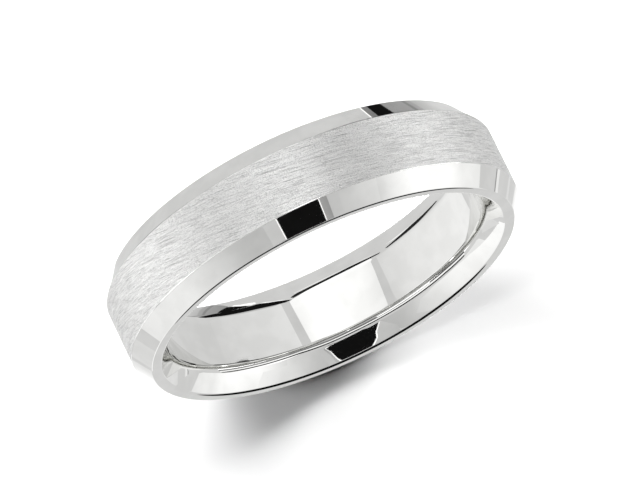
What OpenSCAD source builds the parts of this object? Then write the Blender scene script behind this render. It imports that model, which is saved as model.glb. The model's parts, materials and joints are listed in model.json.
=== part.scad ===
// Comfort-fit wedding band, turned from one seamless blank of white precious metal.
// The ring's axis lies along Y and the origin is the centre of the finger hole, so the band
// stands on its rim, as it does on a table, with its two side faces towards -Y and +Y.

/* [Size] */
// Inner diameter at the narrowest place, US ring size 10
finger_d = 19.8; // [15:0.1:23]
// Width of the band from side face to side face
band_w = 6; // [5.4:0.1:8]
// Thickness of the wall from the finger hole to the brushed flat
wall_t = 2.3; // [2.1:0.1:3]

/* [Outside] */
// Width of the brushed flat around the outside
flat_w = 3.6; // [3:0.1:4.2]
// How far each polished bevel falls from the brushed flat to its side face
bevel_drop = 0.8; // [0.4:0.1:1]

/* [Side faces] */
// Radial width of the flat ring on each side, measured between sharp corners
side_face_w = 0.55; // [0.4:0.05:0.7]
// Width that a broken edge takes off each of the two faces beside it
edge_break = 0.06; // [0.03:0.01:0.1]

/* [Comfort fit] */
// Length of the straight cylinder in the middle of the finger hole
land_w = 2.9; // [2.5:0.1:3.2]
// Radius that rounds each end of the cylinder into its flared lip
round_r = 1.05; // [0.6:0.05:1.2]

/* [Hidden] */
$fn = 180;

finger_r = finger_d / 2;
outer_r = finger_r + wall_t;
half_w = band_w / 2;
half_flat = flat_w / 2;
half_land = land_w / 2;
bevel_foot_r = outer_r - bevel_drop;
lip_mouth_r = bevel_foot_r - side_face_w;

// The section is drawn in radius and height along the axis.
// Each point on a slanted face is edge_break from the sharp corner at the side face.
bevel_run = half_w - half_flat;
bevel_length = norm([bevel_run, bevel_drop]);
bevel_break = [bevel_foot_r, half_w] + edge_break / bevel_length * [bevel_drop, -bevel_run];

// Each end of the cylinder is rounded by an arc that meets the cylinder and the lip at round_tilt degrees.
// The lip is the cone from that arc to the side face, and lip_foot is where it would meet the cylinder.
round_tilt = 4;
round_inset = round_r * cos(round_tilt);
round_centre = [finger_r + round_inset, half_land - round_r * sin(round_tilt)];
lip_reach = [lip_mouth_r, half_w] - round_centre;
lip_angle = atan2(lip_reach.x, lip_reach.y) + asin(round_inset / norm(lip_reach));
lip_foot = half_w - (lip_mouth_r - finger_r) / tan(lip_angle);
lip_break = [lip_mouth_r, half_w] - edge_break * [sin(lip_angle), cos(lip_angle)];

// The section with a sharp corner where each lip meets the cylinder.
module sharp_section() {
    polygon([
        [finger_r, -lip_foot],
        lip_break - [0, 2 * lip_break.y],
        [lip_mouth_r + edge_break, -half_w],
        [bevel_foot_r - edge_break, -half_w],
        bevel_break - [0, 2 * bevel_break.y],
        [outer_r, -half_flat],
        [outer_r, half_flat],
        bevel_break,
        [bevel_foot_r - edge_break, half_w],
        [lip_mouth_r + edge_break, half_w],
        lip_break,
        [finger_r, lip_foot]
    ]);
}

// What the rounding takes off the corner between the cylinder and one lip: a kite from the centre of
// the arc over both faces, reaching out past them, less the circle.
module corner_waste() {
    difference() {
        translate(round_centre)
            polygon(1.5 * [
                [0, 0],
                [-round_inset, 0],
                [-round_inset, lip_foot - round_centre.y],
                round_inset * [-cos(lip_angle), sin(lip_angle)]
            ]);
        translate(round_centre)
            circle(r = round_r);
    }
}

module section() {
    difference() {
        sharp_section();
        corner_waste();
        mirror([0, 1]) corner_waste();
    }
}

module band() {
    color("silver")
        rotate([90, 0, 0])
            rotate_extrude()
                section();
}

band();
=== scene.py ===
import json
import math

import bmesh
import bpy
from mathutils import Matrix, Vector

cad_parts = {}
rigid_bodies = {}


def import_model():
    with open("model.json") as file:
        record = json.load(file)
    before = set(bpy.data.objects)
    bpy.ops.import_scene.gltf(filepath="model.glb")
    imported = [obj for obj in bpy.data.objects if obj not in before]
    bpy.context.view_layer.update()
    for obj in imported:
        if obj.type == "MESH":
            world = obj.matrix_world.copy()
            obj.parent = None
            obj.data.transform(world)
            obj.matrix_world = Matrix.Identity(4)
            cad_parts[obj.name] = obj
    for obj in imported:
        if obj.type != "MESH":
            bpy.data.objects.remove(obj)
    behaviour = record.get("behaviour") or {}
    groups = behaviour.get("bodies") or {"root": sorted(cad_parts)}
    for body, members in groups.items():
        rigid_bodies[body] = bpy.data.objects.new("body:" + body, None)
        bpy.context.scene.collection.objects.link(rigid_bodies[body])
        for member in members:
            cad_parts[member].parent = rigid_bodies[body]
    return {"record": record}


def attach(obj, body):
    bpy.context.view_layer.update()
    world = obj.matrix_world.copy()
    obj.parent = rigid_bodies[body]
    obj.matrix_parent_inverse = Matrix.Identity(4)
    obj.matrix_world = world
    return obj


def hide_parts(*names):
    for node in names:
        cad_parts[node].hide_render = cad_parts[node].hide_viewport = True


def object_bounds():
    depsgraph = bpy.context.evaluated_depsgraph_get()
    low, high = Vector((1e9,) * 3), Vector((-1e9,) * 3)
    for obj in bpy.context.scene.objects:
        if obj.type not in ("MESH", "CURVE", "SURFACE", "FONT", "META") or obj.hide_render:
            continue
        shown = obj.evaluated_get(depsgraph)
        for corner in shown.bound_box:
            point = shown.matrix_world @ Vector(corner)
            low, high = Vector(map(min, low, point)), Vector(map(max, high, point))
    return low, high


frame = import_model()
cad_low, cad_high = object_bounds()

# The band stands on its rim with its axis along Y. All lengths are in metres and angles in degrees.
# An azimuth of 0 faces the viewer at -Y and 90 is towards +X; an elevation is above the horizon.
MM = 0.001

# The section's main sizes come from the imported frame, and the rest repeat the CAD source's.
finger_hole = next(m for m in frame["record"]["mounts"] if m["name"] == "finger_hole")
FINGER_R = finger_hole["dims"]["r_mm"] * MM
HALF_LAND = finger_hole["dims"]["length_mm"] * MM / 2
OUTER_R = cad_high.x
HALF_W = cad_high.y
HALF_FLAT = 1.8 * MM
BEVEL_FOOT_R = OUTER_R - 0.8 * MM
LIP_MOUTH_R = BEVEL_FOOT_R - 0.55 * MM

# Radii that round the section, and the slope where the round at each end of the hole meets the lip.
LAND_BARREL = 60 * MM
LAND_ROUND = 1.06 * MM
LIP_START = 34
MOUTH_ROUND = 0.30 * MM
BEVEL_ROUND = 0.16 * MM
FLAT_ROUND = 0.10 * MM

# Steps round the band, and along each kind of round stretch in the section.
SEGMENTS = 840
CORNER_STEPS = 8
LAND_STEPS = 6
ROUND_STEPS = 18
LIP_STEPS = 8

# The view: a long lens, high above the front of the band and a little to its left.
CAMERA_AZIMUTH = -24.06
CAMERA_ELEVATION = 67.29
CAMERA_DISTANCE = 0.4314
CAMERA_LENS = 431.0
CAMERA_SENSOR = 36.0
CAMERA_RIGHT = -0.043 * MM
CAMERA_UP = 0.109 * MM

# How much the polished metal reflects, and how much where its polish is duller.
WHITE_GOLD = (0.80, 0.80, 0.787)
WHITE_GOLD_DULL = (0.755, 0.755, 0.742)

# Brightness in reflections: STUDIO_LEVEL is the radiance of a card of level 1, which the metal shows as a
# light grey. It shows a card of level WHITE as white and one of level BLACK as black.
STUDIO_LEVEL = 0.7775
WHITE = 1.8
BLACK = 0.01

# The wall and the cards are far off, so that every part of the band sees them in the same directions.
WALL_DISTANCE = 3.3
WALL_DETAIL = 3
CARD_DISTANCE = 3.0
CARD_GAP = 0.02
CARD_CUTS = 9

FLOOR_HALF = 0.25
FLOOR_WHITE = 0.85
SURROUND = 1.0

LAMP_SIZE = 0.36
LAMP_DISTANCE = 1.0

# Light bounces many times between the walls of the hole, whose ends would look black with few bounces.
BOUNCES = 24


def direction(azimuth, elevation):
    """The unit vector towards an azimuth and elevation in degrees."""
    a = math.radians(azimuth)
    e = math.radians(elevation)
    return Vector((math.sin(a) * math.cos(e), -math.cos(a) * math.cos(e), math.sin(e)))


# ---------------------------------------------------------------- section and band mesh


def at_angle(degrees):
    """The unit vector at an angle from the outward radius, in radius and height along Y."""
    a = math.radians(degrees)
    return Vector((math.cos(a), math.sin(a)))


def straight(start, end, finish):
    """A straight stretch of the section as (point, outward normal, finish), without its end point."""
    way = (end - start).normalized()
    return [(start, Vector((way.y, -way.x)), finish)]


def arc(centre, radius, from_angle, to_angle, steps, finish):
    """A round stretch of the section, without its end point."""
    stretch = []
    for step in range(steps):
        normal = at_angle(from_angle + (to_angle - from_angle) * step / steps)
        stretch.append((centre + radius * normal, normal, finish))
    return stretch


def rounded(corner, from_angle, to_angle, radius, finish):
    """A rounded corner between faces whose normals point at those angles, with its first and last point."""
    middle = at_angle((from_angle + to_angle) / 2)
    half_turn = math.radians(abs(to_angle - from_angle) / 2)
    centre = corner - middle * radius / math.cos(half_turn)
    stretch = arc(centre, radius, from_angle, to_angle, CORNER_STEPS, finish)
    return centre + radius * at_angle(from_angle), stretch, centre + radius * at_angle(to_angle)


def half_section():
    """The section from the middle of the flat, over one side, to the middle of the finger hole."""
    flat_edge = Vector((OUTER_R, HALF_FLAT))
    bevel_foot = Vector((BEVEL_FOOT_R, HALF_W))
    mouth = Vector((LIP_MOUTH_R, HALF_W))
    bevel_angle = math.degrees(math.atan2(OUTER_R - BEVEL_FOOT_R, HALF_W - HALF_FLAT))

    # The hole is very slightly barrelled about its nominal radius. Its end curves away in two arcs that
    # meet at the slope LIP_START: a tight one, then a nearly straight lip.
    land_end = math.degrees(math.asin(HALF_LAND / LAND_BARREL))
    land_sag = LAND_BARREL * (1 - math.cos(math.radians(land_end)))
    land_centre = Vector((FINGER_R - land_sag / 2 + LAND_BARREL, 0))
    round_centre = land_centre + (LAND_BARREL - LAND_ROUND) * at_angle(180 - land_end)
    lip_start = round_centre + LAND_ROUND * at_angle(180 - LIP_START)
    chord = mouth - lip_start
    lip_end = 2 * math.degrees(math.atan2(chord.x, chord.y)) - LIP_START
    lip_round = chord.length / 2 / math.sin(math.radians((lip_end - LIP_START) / 2))
    lip_centre = lip_start - lip_round * at_angle(180 - LIP_START)

    # The mouth's rounding takes the last few degrees of the lip's arc.
    mouth_half_turn = math.radians(45 - lip_end / 2)
    lip_trim = math.degrees(MOUTH_ROUND * math.tan(mouth_half_turn) / lip_round)

    flat_leaves, flat_corner, bevel_from = rounded(flat_edge, 0, bevel_angle, FLAT_ROUND, "edge")
    bevel_to, foot_corner, side_from = rounded(bevel_foot, bevel_angle, 90, BEVEL_ROUND, "polish")
    side_to, mouth_corner, _ = rounded(mouth, 90, 180 - lip_end, MOUTH_ROUND, "polish")

    stretches = straight(Vector((OUTER_R, 0)), flat_leaves, "brushed") + flat_corner
    stretches += straight(bevel_from, bevel_to, "polish") + foot_corner
    stretches += straight(side_from, side_to, "polish") + mouth_corner
    stretches += arc(lip_centre, lip_round, 180 - lip_end + lip_trim, 180 - LIP_START, LIP_STEPS, "hole")
    stretches += arc(round_centre, LAND_ROUND, 180 - LIP_START, 180 - land_end, ROUND_STEPS, "hole")
    stretches += arc(land_centre, LAND_BARREL, 180 - land_end, 180, LAND_STEPS, "hole")
    return stretches + arc(land_centre, LAND_BARREL, 180, 180, 1, "hole")


def section_outline():
    """The closed outline as a list of (point, normal, finish of the stretch after the point)."""
    back = half_section()
    mirrored = Vector((1, -1))
    front = []
    for i in range(len(back) - 2, 0, -1):
        point, normal, _ = back[i]
        front.append((point * mirrored, normal * mirrored, back[i - 1][2]))
    return back + front


def turned_band(materials):
    """The band as a lathe turns it: the outline swept round Y, with exact normals and its finishes."""
    outline = section_outline()
    rows = len(outline)
    finishes = list(materials)
    points = []
    normals = []
    faces = []
    slots = []
    for i in range(SEGMENTS):
        turn = 2 * math.pi * i / SEGMENTS
        c = math.cos(turn)
        s = math.sin(turn)
        following = (i + 1) % SEGMENTS
        for j, (point, normal, finish) in enumerate(outline):
            points.append((point.x * c, point.y, point.x * s))
            normals.append((normal.x * c, normal.y, normal.x * s))
            k = (j + 1) % rows
            faces.append((i * rows + j, i * rows + k, following * rows + k, following * rows + j))
            slots.append(finishes.index(finish))
    mesh = bpy.data.meshes.new("polished_band")
    mesh.from_pydata(points, [], faces)
    for material in materials.values():
        mesh.materials.append(material)
    mesh.polygons.foreach_set("material_index", slots)
    mesh.polygons.foreach_set("use_smooth", [True] * len(faces))
    mesh.normals_split_custom_set_from_vertices(normals)
    mesh.update()
    return placed("polished_band", mesh)


def placed(name, data):
    """A new object in the scene."""
    obj = bpy.data.objects.new(name, data)
    bpy.context.scene.collection.objects.link(obj)
    return obj


# ---------------------------------------------------------------- materials


class Nodes:
    """A material's node tree, with short calls for the nodes that the finishes use."""

    def __init__(self, name):
        self.material = bpy.data.materials.new(name)
        self.material.use_nodes = True
        self.tree = self.material.node_tree
        self.tree.nodes.clear()

    def add(self, kind, settings=None, **inputs):
        """A new node. An input is a value or another node's output socket, and _0 is the first input."""
        node = self.tree.nodes.new(kind)
        for name, value in (settings or {}).items():
            setattr(node, name, value)
        for name, value in inputs.items():
            key = int(name[1:]) if name[1:].isdigit() else name.replace("_", " ")
            socket = node.inputs[key]
            if isinstance(value, bpy.types.NodeSocket):
                self.tree.links.new(value, socket)
            else:
                socket.default_value = value
        return node

    def place(self):
        """The point on the band, in metres."""
        return self.add("ShaderNodeTexCoord").outputs["Object"]

    def streaks(self, tilt, length, width, detail, offset):
        """Noise drawn out round the band: streaks of that size, in planes that tilt off square."""
        moved = self.add("ShaderNodeVectorMath", {"operation": "ADD"}, _0=self.place(), _1=offset)
        place = moved.outputs[0]
        across = self.add("ShaderNodeVectorMath", {"operation": "DOT_PRODUCT"}, _0=place, _1=tilt)
        along = self.add("ShaderNodeSeparateXYZ", _0=place)
        x = self.math("DIVIDE", along.outputs["X"], length)
        y = self.math("DIVIDE", across.outputs["Value"], width)
        z = self.math("DIVIDE", along.outputs["Z"], length)
        spot = self.add("ShaderNodeCombineXYZ", _0=x, _1=y, _2=z).outputs[0]
        noise = self.add("ShaderNodeTexNoise", Vector=spot, Scale=1.0, Detail=detail, Roughness=0.6)
        return noise.outputs["Fac"]

    def blotches(self, size, detail):
        """Noise with no direction, in blotches of about that size."""
        noise = self.add("ShaderNodeTexNoise", Vector=self.place(), Scale=1 / size, Detail=detail)
        return noise.outputs["Fac"]

    def math(self, operation, a, b):
        """One arithmetic step on two values."""
        return self.add("ShaderNodeMath", {"operation": operation}, _0=a, _1=b).outputs[0]

    def spread(self, value, low, high, to_low, to_high):
        """Maps low..high of a value to to_low..to_high, smoothly and with no overshoot."""
        smooth = {"interpolation_type": "SMOOTHSTEP"}
        node = self.add("ShaderNodeMapRange", smooth, _0=value, _1=low, _2=high, _3=to_low, _4=to_high)
        return node.outputs[0]

    def tint(self, fac, dark, light):
        """A colour between two colours."""
        node = self.add("ShaderNodeMix", {"data_type": "RGBA"}, _0=fac, _6=(*dark, 1), _7=(*light, 1))
        return node.outputs[2]

    def bump(self, height, depth, onto=None):
        """A bump whose heights are a share of depth, in metres."""
        node = self.add("ShaderNodeBump", Height=height, Distance=depth, Strength=1.0)
        if onto is not None:
            self.tree.links.new(onto, node.inputs["Normal"])
        return node.outputs[0]

    def metal(self, colour, roughness, normal, anisotropy=0.0):
        """Joins the metal's shader to the output and returns the material."""
        shader = self.add("ShaderNodeBsdfPrincipled", Base_Color=colour, Roughness=roughness, Normal=normal)
        shader.inputs["Metallic"].default_value = 1.0
        shader.inputs["Anisotropic"].default_value = anisotropy
        if anisotropy:
            shader.inputs["Anisotropic Rotation"].default_value = 0.25
            round_y = self.add("ShaderNodeTangent", {"direction_type": "RADIAL", "axis": "Y"})
            self.tree.links.new(round_y.outputs[0], shader.inputs["Tangent"])
        self.add("ShaderNodeOutputMaterial", Surface=shader.outputs[0])
        return self.material


def polished_metal(name, wave_depth, rough_low, rough_high):
    """A buffed mirror finish: faint waviness from the wheel and hairlines of slightly lower gloss."""
    n = Nodes(name)
    hairlines = n.streaks(
        tilt=(0.05, 1.0, -0.03), length=1.6 * MM, width=0.05 * MM, detail=2.0, offset=(0.3, 0.1, 0.2))
    haze = n.blotches(size=1.5 * MM, detail=2.0)
    gloss = n.spread(haze, low=0.35, high=0.65, to_low=0, to_high=1)
    colour = n.tint(gloss, WHITE_GOLD_DULL, WHITE_GOLD)
    roughness = n.spread(hairlines, low=0.5, high=0.75, to_low=rough_low, to_high=rough_high)
    wave = n.bump(n.blotches(size=2.5 * MM, detail=1.0), wave_depth)
    return n.metal(colour, roughness, wave)


def brushed_metal(name):
    """A satin finish: hairlines that run round the band at a slight slant, over a soft grain, with painted
    shade in the hairlines.
    """
    n = Nodes(name)
    deep_cuts = n.streaks(
        tilt=(0.15, 1.0, 0.26), length=1.7 * MM, width=0.03 * MM, detail=1.0, offset=(0.1, 0.4, 0.3))
    light_cuts = n.streaks(
        tilt=(0.08, 1.0, 0.12), length=1.2 * MM, width=0.03 * MM, detail=1.0, offset=(0.5, 0.2, 0.7))
    grain = n.blotches(size=0.05 * MM, detail=2.0)

    # Each layer is 1 on whole metal and falls to its to_low at the bottom of a cut. The colour darkens with
    # the layers: painted shade in the cuts, over grain of random tone.
    deep = n.spread(deep_cuts, low=0.25, high=0.38, to_low=0.25, to_high=1)
    light = n.spread(light_cuts, low=0.32, high=0.58, to_low=0.68, to_high=1)
    sand = n.spread(grain, low=0.32, high=0.56, to_low=0.48, to_high=1)
    cut_shade_and_grain = n.math("MULTIPLY", n.math("MULTIPLY", deep, light), sand)
    # The cuts are painted darker in the metal's colour, as shade in their grooves; the grain adds random
    # tone.
    colour = n.tint(cut_shade_and_grain, dark=(0.12, 0.12, 0.12), light=(1.0, 1.0, 0.99))
    roughness = n.spread(grain, low=0.3, high=0.7, to_low=0.44, to_high=0.54)
    fine = n.bump(grain, depth=0.003 * MM)
    lines = n.bump(cut_shade_and_grain, depth=0.008 * MM, onto=fine)
    return n.metal(colour, roughness, lines, anisotropy=0.8)


def band_materials():
    """One material for each finish that the outline names."""
    return {
        "brushed": brushed_metal("white_gold_brushed"),
        "polish": polished_metal(
            "white_gold_polished", wave_depth=0.0006 * MM, rough_low=0.02, rough_high=0.05),
        "edge": polished_metal(
            "white_gold_worn_edge", wave_depth=0.001 * MM, rough_low=0.08, rough_high=0.16),
        "hole": polished_metal(
            "white_gold_finger_hole", wave_depth=0.0008 * MM, rough_low=0.02, rough_high=0.06),
    }


# ---------------------------------------------------------------- studio

# The cards stand where the photographed band mirrors something light or dark. Their corners were set one by
# one, from the directions that points on the metal mirror in the photograph, and then adjusted.


def card(name, corners, level=None):
    """A studio card that only the metal sees, hung in front of the cards made before it.

    A corner is an azimuth and an elevation seen from the band. A card with no level of its own fades from
    corner to corner, and each corner has its level as a third number.
    """
    staged = [obj for obj in bpy.context.scene.objects if obj.name.startswith("card_")]
    towards = [direction(azimuth, elevation) for azimuth, elevation, *_ in corners]
    middle = sum(towards, Vector()).normalized()
    mesh = bpy.data.meshes.new("card_" + name)
    mesh.from_pydata([way / way.dot(middle) for way in towards], [], [range(len(corners))])
    set_glow(mesh, [level if level is not None else corner[2] for corner in corners])
    curve_round_band(mesh, CARD_DISTANCE - CARD_GAP * len(staged))
    hang("card_" + name, mesh)


def arch(name, one_edge, other_edge, level):
    """A row of cards between two edges, each a list of matching corners."""
    for i in range(len(one_edge) - 1):
        corners = [one_edge[i], one_edge[i + 1], other_edge[i + 1], other_edge[i]]
        card(f"{name}_{i}", corners, level)


def studio_wall():
    """The plain wall all round, behind the cards, of level 1."""
    shell = bmesh.new()
    bmesh.ops.create_icosphere(shell, subdivisions=WALL_DETAIL, radius=WALL_DISTANCE)
    mesh = bpy.data.meshes.new("studio_wall")
    shell.to_mesh(mesh)
    shell.free()
    set_glow(mesh, [1] * len(mesh.vertices))
    hang("studio_wall", mesh)


def set_glow(mesh, levels):
    """Gives each point of a mesh the radiance of its level."""
    glow_at = mesh.color_attributes.new("glow", "FLOAT_COLOR", "POINT")
    for point, level in zip(glow_at.data, levels):
        point.color = (*[level * STUDIO_LEVEL] * 3, 1)


def curve_round_band(mesh, distance):
    """Cuts a flat card into small faces and bends it, so that all of it is that far from the band."""
    shell = bmesh.new()
    shell.from_mesh(mesh)
    bmesh.ops.triangulate(shell, faces=shell.faces)
    bmesh.ops.subdivide_edges(shell, edges=shell.edges, cuts=CARD_CUTS, use_grid_fill=True)
    for vertex in shell.verts:
        vertex.co = vertex.co.normalized() * distance
    shell.to_mesh(mesh)
    shell.free()


def hang(name, mesh):
    """Puts a glowing mesh in the studio, where only the metal sees it."""
    mesh.materials.append(glow_material(name))
    obj = placed(name, mesh)
    obj.visible_camera = False
    obj.visible_diffuse = False
    obj.visible_shadow = False
    obj.visible_transmission = False
    obj.visible_volume_scatter = False


def glow_material(name):
    """An emission material that takes its radiance from the mesh's points."""
    material = bpy.data.materials.new(name)
    material.use_nodes = True
    tree = material.node_tree
    tree.nodes.clear()
    level = tree.nodes.new("ShaderNodeAttribute")
    level.attribute_name = "glow"
    glow = tree.nodes.new("ShaderNodeEmission")
    output = tree.nodes.new("ShaderNodeOutputMaterial")
    tree.links.new(level.outputs["Color"], glow.inputs["Color"])
    tree.links.new(glow.outputs[0], output.inputs["Surface"])
    return material


def cards_beside():
    """Walls left and right, and a dark slot, which the brushed flat and the middle of the hole mirror."""
    card("left_wall_back", [
        (-138, -50, 1.2), (-130, -10, 1.2), (-126, 40, 1.05), (-98, 40, 1.2), (-92, 0, 1.5),
        (-96, -50, 1.6)
    ])
    card("left_wall_white", [(-107.5, 45), (-107, 10), (-108, -10), (-92, -10), (-92, 45)], 1.75)
    card("right_wall_back", [
        (100, 5, 1.02), (100, 60, 1.15), (140, 60, 1.25), (136, 40, 1.2), (130, 5, 1.05)
    ])
    card("right_shelf", [
        (104, 34), (110, 30), (120, 58), (134, 67), (150, 72), (160, 82), (118, 72)
    ], 0.6)
    card("right_slot", [
        (100, -14), (108.2, -14), (107.9, 5), (109.5, 22), (110, 30), (104, 34), (99, 10)
    ], 0.08)


def cards_for_satin():
    """Bright cards hung where the brushed flat mirrors them, spread out by its hairlines."""
    card("left_lamp", [(-99, -12), (-78, -12), (-78, 17), (-99, 17)], 5.0)
    card("left_edge_lamp", [(-99, -45), (-90, -45), (-80, -16), (-92, -16)], 2.4)
    card("right_lamp", [(84, -2), (97, -2), (97, 38), (84, 38)], 5.0)
    card("top_lamp", [(-60, 80), (-110, 74), (-170, 76), (150, 80), (100, 84)], 6.0)


def cards_overhead():
    """The big softbox above and behind, which the middle of the hole mirrors, and its soft grey borders."""
    card("right_border", [(127, 73), (148, 57), (140, 50), (116, 65)], 0.95)
    card("left_border", [(-108, 55), (-130, 38.5), (-127, 35.5), (-116, 40), (-107, 48)], 0.95)
    card("top_softbox", [
        (134.5, 66, 1.5), (141, 60, 1.55), (155, 54, 1.65), (163, 50, 1.8), (170, 43, 1.8),
        (178, 36, 1.8), (-170, 30.5, 1.8), (-155, 29.5, 1.75), (-140, 31, 1.7), (-132, 36, 1.6),
        (-121, 43.5, 1.42), (-116.5, 47, 1.4), (-110, 56, 1.4), (-120, 68, 1.6), (-150, 76, 1.8),
        (170, 77, 1.8), (150, 72, 1.7)
    ])


def cards_behind():
    """What the far bevel and the hole's far end mirror: a dark board and a dark band below the softbox.

    The far bevel and the far lip mirror almost the same part of the board, and the lip has the more black
    of the two. So a slit and a notch in the board, along the bevel's line, let the bevel mirror the lighter
    cards behind it.
    """
    card("side_shade", [(133, 50, 1), (142, 50, 0.5), (142, 2, 0.4), (128, 2, 0.95)])
    card("board_foot", [
        (134, -12, 0.8), (146, -17.5, 0.5), (153.9, -20, 0.46), (154.3, -25, 0.5), (154, -32, 0.62),
        (140, -32, 0.62)
    ])
    card("board_foot_line", [(140, -27.8), (154, -27.8), (154, -29.4), (140, -29.4)], 0.4)
    card("board_shadow", [(140, -32, 0.7), (154, -32, 0.8), (156, -42, 1), (140, -42, 1)])
    card("board_rim_high", [
        (153, 40), (155.2, 40), (157, 27), (157.3, 15), (159, 0), (158.6, -3), (156, -3), (153, 10)
    ], WHITE)
    card("board_rim_low", [
        (156.5, -9), (158.2, -7.6), (158.4, -9.5), (156.8, -13), (155.7, -15), (155, -18), (153, -18),
        (154, -13)
    ], WHITE)
    card("slit_wall", [
        (152.9, -10), (158, -4.5), (161, -2), (161, -5), (158, -7.3), (152.9, -13.2)
    ], 1.0)
    card("slit_rim", [(152.62, -10.8), (152.93, -10.4), (152.93, -13.2), (152.62, -13.6)], WHITE)
    card("slit_shade", [(150.9, -12.7), (152.62, -10.8), (152.62, -13.6), (150.9, -16)], 0.36)
    card("dark_board", [
        (141, 56), (150.5, 56), (153.8, 42), (155.5, 27), (155.8, 15), (157.6, -1), (157.5, -6),
        (155.2, -8.5), (153.75, -10.3), (152.3, -12.2), (151.4, -13.7), (151.4, -14.9), (152.4, -13.3),
        (153.75, -11.5), (155.2, -9.7), (156.3, -8.5), (155.6, -11.5), (154.8, -14), (154.2, -17),
        (153.4, -20), (150.7, -21.3), (148.5, -21.7), (149.4, -19.4), (148.9, -18.9), (148.1, -19.6),
        (147.3, -22), (143, -20.7), (136, -20), (131.5, -9), (134, 8), (139, 28)
    ], BLACK)
    card("low_glow", [
        (166, 34, 1), (172, 30, 1.2), (180, 19, 1.3), (-172, 16, 1.3), (-160, 18, 1.3), (-150, 22, 1.1),
        (-150, 14, 1), (-165, 9, 1.3), (-176, 4, 1.4), (178, 4, 1.4), (168, 14, 1.2)
    ])
    band_top = [
        (157, 50), (167, 44), (176, 37.5), (-177, 33), (-169, 30), (-156, 29.5), (-145, 29), (-134, 28)
    ]
    band_foot = [
        (160, 39), (168, 26), (177, 17), (-176, 13), (-168, 12), (-160, 16), (-150, 21.5), (-137, 24)
    ]
    arch("dark_band", band_top, band_foot, 0.03)
    card("left_glow", [(-154, 0), (-147, 0), (-144, -15), (-148, -27), (-152, -27), (-152, -15)], 1.5)
    edge_right = [(-134, 20), (-133, 11), (-132, 0), (-133, -9), (-138, -22), (-144, -34)]
    edge_left = [(-139, 18), (-142, 9), (-146, -3), (-150, -17), (-150, -27), (-150, -36)]
    arch("left_edge", edge_right, edge_left, 0.03)


def cards_in_front():
    """What the near bevel and the near lip mirror: a black card between grey ones, and two softboxes."""
    card("left_wall", [
        (-26, 47, 0.8), (-26, 20, 0.8), (-42, -5, 1.15), (-62, -45, 1.36), (-72, -37.5, 1.32),
        (-60, -5, 1.42), (-53, 10, 1.18), (-43, 25, 0.92), (-36, 32, 0.82)
    ])
    card("left_softbox", [
        (-36, 16, 1.02), (-45, 15, 1.1), (-53, 5, 1.4), (-58.5, -8, 1.55), (-62.5, -25, 1.6),
        (-66, -45, 1.6), (-75, -68, 1.55), (-45, -68, 1.55), (-40, -10, 1.3)
    ])
    card("grey_left", [
        (-27.4, 37, 0.93), (-27.4, 48, 0.93), (-12, 48, 0.93), (-6, 20, 0.8), (-22, 16, 0.8),
        (-28, 24, 0.85)
    ])
    card("right_wall", [
        (12, 48, 0.85), (12, 16, 0.85), (38, 0, 1.4), (60, 12, 1.5), (50, 30, 1.4), (44, 38, 1.2),
        (30, 48, 0.98)
    ])
    card("right_softbox", [
        (36, 75, 1.6), (46, 45, 1.7), (50.5, 25, 1.75), (46, 12, 1.5), (40, 0, 1.45), (52, -22, 1.35),
        (64, -34, 1.2), (76, -18, 1.42), (71, -6, 1.45), (65.5, 3, 1.75), (60, 45, 1.9), (60, 75, 1.7)
    ])
    card("right_fade", [(37, 29, 1.12), (45, 38, 1.12), (60, 22, 1.8), (52, 14, 1.8)])
    card("grey_right_soft", [
        (12, 50, 0.83), (17, 50, 0.83), (20, 41, 0.9), (15, 34, 0.9), (11.5, 26, 0.9), (6, 26, 0.9)
    ])
    card("grey_right", [
        (6, 50, 0.49), (12.6, 50, 0.49), (12.6, 43, 0.49), (14.6, 40, 0.6), (10.6, 35, 0.7),
        (8, 27, 0.8), (4, 27, 0.8)
    ])
    card("white_rim", [
        (-20.1, 47), (7.6, 47), (7.9, 43), (13.9, 40.6), (10.6, 37.6), (9.2, 34.5), (7.6, 30.6),
        (4.5, 25), (-10.5, 25), (-16.8, 28.6), (-20, 32), (-28, 35), (-23, 37.4), (-20.2, 38.8)
    ], WHITE)
    card("black", [
        (-19.4, 46), (7, 46), (7.3, 42.5), (13, 40.3), (10, 37.6), (8.5, 34.5), (7, 31), (4, 26),
        (-10, 26), (-16, 29), (-19.3, 32.5), (-27, 35.4), (-22.4, 36.8), (-19.6, 38.2)
    ], 0.008)


def card_below_front():
    """A black card low in front, which draws the thin dark line round the hole in the main view."""
    card("front_gap", [
        (-36, -12), (-31, 2), (-18, 12), (0, 16), (15, 15), (28, 8), (38, -6), (43, -22), (42, -36),
        (36, -47), (15, -54), (0, -53), (-18, -47), (-30, -37), (-36, -24)
    ], BLACK)


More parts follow.
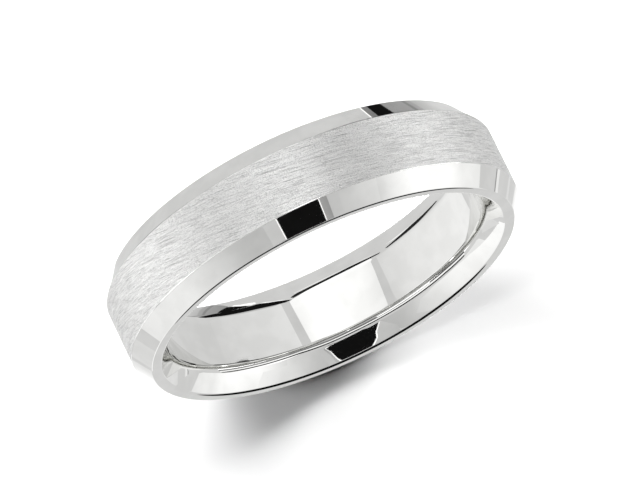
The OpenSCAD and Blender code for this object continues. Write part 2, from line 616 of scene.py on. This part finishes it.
def cards_high():
    """Arches over the table, which the tight near rounding mirrors as fine dark, white and grey lines.

    The edge lamp comes last, so that it hangs in front of them.
    """
    lowest = [
        (70, -2), (67, 10), (65, 20), (58, 38), (48, 51), (18, 56), (-20, 55.5), (-39, 46), (-51.5, 30),
        (-60.5, 14.5), (-65.5, 1), (-67.5, -20)
    ]
    second = [
        (73, -2), (71.5, 10), (69.5, 22), (64, 42), (55, 57), (20, 63), (-22, 62.5), (-44, 52),
        (-58, 34.5), (-67, 16.5), (-72, 1), (-72.5, -20)
    ]
    third = [
        (78, -2), (77, 12), (76, 24), (73, 45), (66, 60), (22, 70), (-26, 70), (-54, 56), (-67, 38),
        (-76, 19), (-79, 2), (-79, -20)
    ]
    fourth = [
        (80, -2), (79, 14), (78, 27), (76, 48), (70, 63), (24, 74), (-30, 75), (-62, 59), (-74, 40),
        (-81, 20), (-84, 2), (-84, -20)
    ]
    highest = [
        (84, -2), (84, 14), (84, 28), (84, 50), (84, 68), (30, 80), (-50, 80), (-74, 62), (-80, 42),
        (-84, 22), (-86, 2), (-86, -20)
    ]
    arch("grey_arch", third, highest, 0.5)
    arch("second_dark_arch", third, fourth, 0.08)
    arch("white_arch", second, third, 1.6)
    arch("dark_arch", lowest, second, 0.02)
    lamp_near = [(-60, 57), (-66.5, 48), (-71.5, 39), (-76, 26), (-78, 17)]
    lamp_far = [(-68, 60), (-74.5, 50), (-79, 40), (-83, 27), (-85, 17)]
    arch("edge_lamp", lamp_near, lamp_far, 2.2)


def cards_low():
    """The white table, which the ends of the band and the hole mirror, and a few small cards near it."""
    card("table_glow", [
        (101, -58, 1.3), (125, -54, 1.6), (145, -58, 1.8), (180, -61, 1.8), (-150, -62, 1.8),
        (-110, -64, 1.4), (-85, -70, 1.1), (0, -85, 1.4), (70, -75, 1.8)
    ])
    card("bevel_line_white", [(76, -34.8), (90, -34.8), (90, -37.3), (76, -37.3)], 1.3)
    card("bevel_line_dark", [(76, -33.8), (90, -33.8), (90, -34.8), (76, -34.8)], 0.5)
    card("left_foot", [(-70, -47), (-84, -50), (-90, -68), (-72, -66)], 1.12)
    card("right_foot", [(76, -44), (92, -48), (100, -62), (75, -62)], 1.15)


def studio():
    """The wall, then the cards from the farthest to the nearest."""
    studio_wall()
    cards_beside()
    cards_for_satin()
    cards_overhead()
    cards_behind()
    cards_in_front()
    card_below_front()
    cards_high()
    cards_low()


def floor():
    """The white table top that the band stands on."""
    z = cad_low.z
    corners = [(-1, -1), (1, -1), (1, 1), (-1, 1)]
    mesh = bpy.data.meshes.new("floor")
    mesh.from_pydata([(x * FLOOR_HALF, y * FLOOR_HALF, z) for x, y in corners], [], [range(len(corners))])
    obj = placed("floor", mesh)
    material = bpy.data.materials.new("floor_white")
    material.use_nodes = True
    shader = material.node_tree.nodes["Principled BSDF"]
    shader.inputs["Base Color"].default_value = (FLOOR_WHITE, FLOOR_WHITE, FLOOR_WHITE, 1)
    shader.inputs["Roughness"].default_value = 1.0
    shader.inputs["Specular IOR Level"].default_value = 0.0
    mesh.materials.append(material)
    obj.visible_glossy = False


def lamp(name, azimuth, elevation, power):
    """A soft round lamp that lights the floor, and that the metal and the camera don't see."""
    data = bpy.data.lights.new(name, "AREA")
    data.shape = "DISK"
    data.size = LAMP_SIZE
    data.energy = power
    obj = placed(name, data)
    towards = direction(azimuth, elevation)
    obj.location = towards * LAMP_DISTANCE
    obj.rotation_mode = "QUATERNION"
    obj.rotation_quaternion = towards.to_track_quat("Z", "Y")
    obj.visible_camera = False
    obj.visible_glossy = False


def table_lamps():
    """The lamps that give the band its shadow.

    Their places and powers came from a program that fitted them to the photograph's shadow.
    """
    lamp("left", azimuth=-90, elevation=30, power=7.5)
    lamp("high_left", azimuth=-120, elevation=46, power=4.6)
    lamp("high_back", azimuth=-150, elevation=46, power=5.4)
    lamp("low_back", azimuth=150, elevation=6, power=22.4)
    lamp("back_right", azimuth=135, elevation=30, power=5.35)
    lamp("right", azimuth=105, elevation=22, power=9.25)


def surround():
    """A white background that only the camera sees. The lamps light the floor, and the cards the metal."""
    world = bpy.data.worlds.new("surround")
    bpy.context.scene.world = world
    world.use_nodes = True
    background = world.node_tree.nodes["Background"]
    background.inputs["Color"].default_value = (1, 1, 1, 1)
    background.inputs["Strength"].default_value = SURROUND
    world.cycles_visibility.diffuse = False
    world.cycles_visibility.glossy = False


def camera():
    """The camera of the photograph, aimed at the middle of the band and slid a little to frame it."""
    data = bpy.data.cameras.new("camera")
    data.sensor_width = CAMERA_SENSOR
    data.lens = CAMERA_LENS
    data.clip_start = 0.01
    data.clip_end = 10.0
    obj = placed("camera", data)
    back = direction(CAMERA_AZIMUTH, CAMERA_ELEVATION)
    obj.rotation_mode = "QUATERNION"
    obj.rotation_quaternion = back.to_track_quat("Z", "Y")
    right = obj.rotation_quaternion @ Vector((1, 0, 0))
    up = obj.rotation_quaternion @ Vector((0, 1, 0))
    obj.location = back * CAMERA_DISTANCE + right * CAMERA_RIGHT + up * CAMERA_UP
    bpy.context.scene.camera = obj


# ---------------------------------------------------------------- scene

camera()
surround()
floor()
studio()
table_lamps()

band = turned_band(band_materials())
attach(band, "root")
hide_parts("band")

scene = bpy.context.scene
scene.view_settings.view_transform = "Standard"
scene.cycles.caustics_reflective = False
scene.cycles.max_bounces = BOUNCES
scene.cycles.glossy_bounces = BOUNCES
